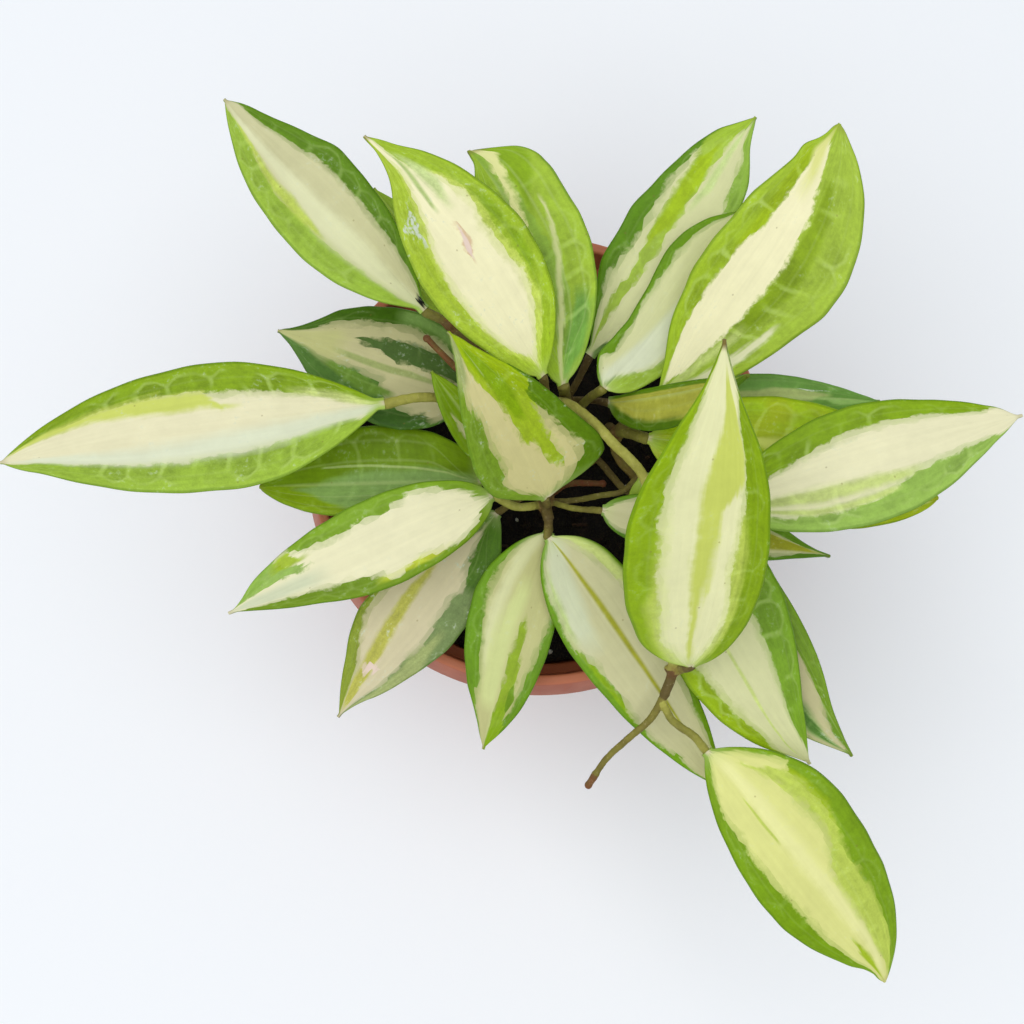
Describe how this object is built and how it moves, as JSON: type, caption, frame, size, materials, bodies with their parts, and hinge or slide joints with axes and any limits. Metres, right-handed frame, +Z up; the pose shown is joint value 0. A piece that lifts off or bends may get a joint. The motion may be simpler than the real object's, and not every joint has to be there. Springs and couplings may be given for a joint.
{
  "type": "potted hoya plant",
  "caption": "Climbing wax plant with large thick variegated leaves on short woody vines, in a round tapered plastic nursery pot full of dark soil.",
  "frame": {"origin": "centre of the pot's flat base, on the surface that it stands on", "axes": "+Z up along the pot's axis; looking down with +X to the right, +Y is away, and the longest vine trails over the rim towards -Y"},
  "size_m": [0.2416, 0.2093, 0.1928],
  "materials": {
    "pot": "satin, terracotta-coloured",
    "soil": "matte, damp and crumbly",
    "woody_stem": "matte bark",
    "green_stem": "satin, fleshy",
    "cream_leaf": "waxy, cream with green margins",
    "green_leaf": "waxy, mostly green",
    "dusky_leaf": "waxy, dull green and beige"
  },
  "bodies": {
    "root": {"pot": "pot", "soil": "soil", "stem_centre": "woody_stem", "stem_upper_left": "woody_stem", "stem_right": "woody_stem", "stem_lower_right": "woody_stem", "stem_left": "green_stem", "stem_top": "green_stem", "stem_trailing": "green_stem", "leaf_left_long": "cream_leaf", "leaf_upper_left": "cream_leaf", "leaf_top_cream": "cream_leaf", "leaf_top_right_far": "cream_leaf", "leaf_top_right_inner": "cream_leaf", "leaf_top_right_near": "cream_leaf", "leaf_upright": "cream_leaf", "leaf_right_long": "cream_leaf", "leaf_right_low": "cream_leaf", "leaf_lower_right": "cream_leaf", "leaf_bottom_cream": "cream_leaf", "leaf_trailing": "cream_leaf", "leaf_bottom_small": "cream_leaf", "leaf_lower_left": "cream_leaf", "leaf_upper_left_hidden": "green_leaf", "leaf_top_green": "green_leaf", "leaf_right_short": "green_leaf", "leaf_right_green": "green_leaf", "leaf_left_green": "green_leaf", "leaf_centre": "green_leaf", "leaf_centre_small": "green_leaf", "leaf_right_behind": "dusky_leaf", "leaf_lower_right_under": "dusky_leaf", "leaf_lower_left_dusty": "dusky_leaf", "leaf_back_left": "dusky_leaf"}
  },
  "joints": []
}
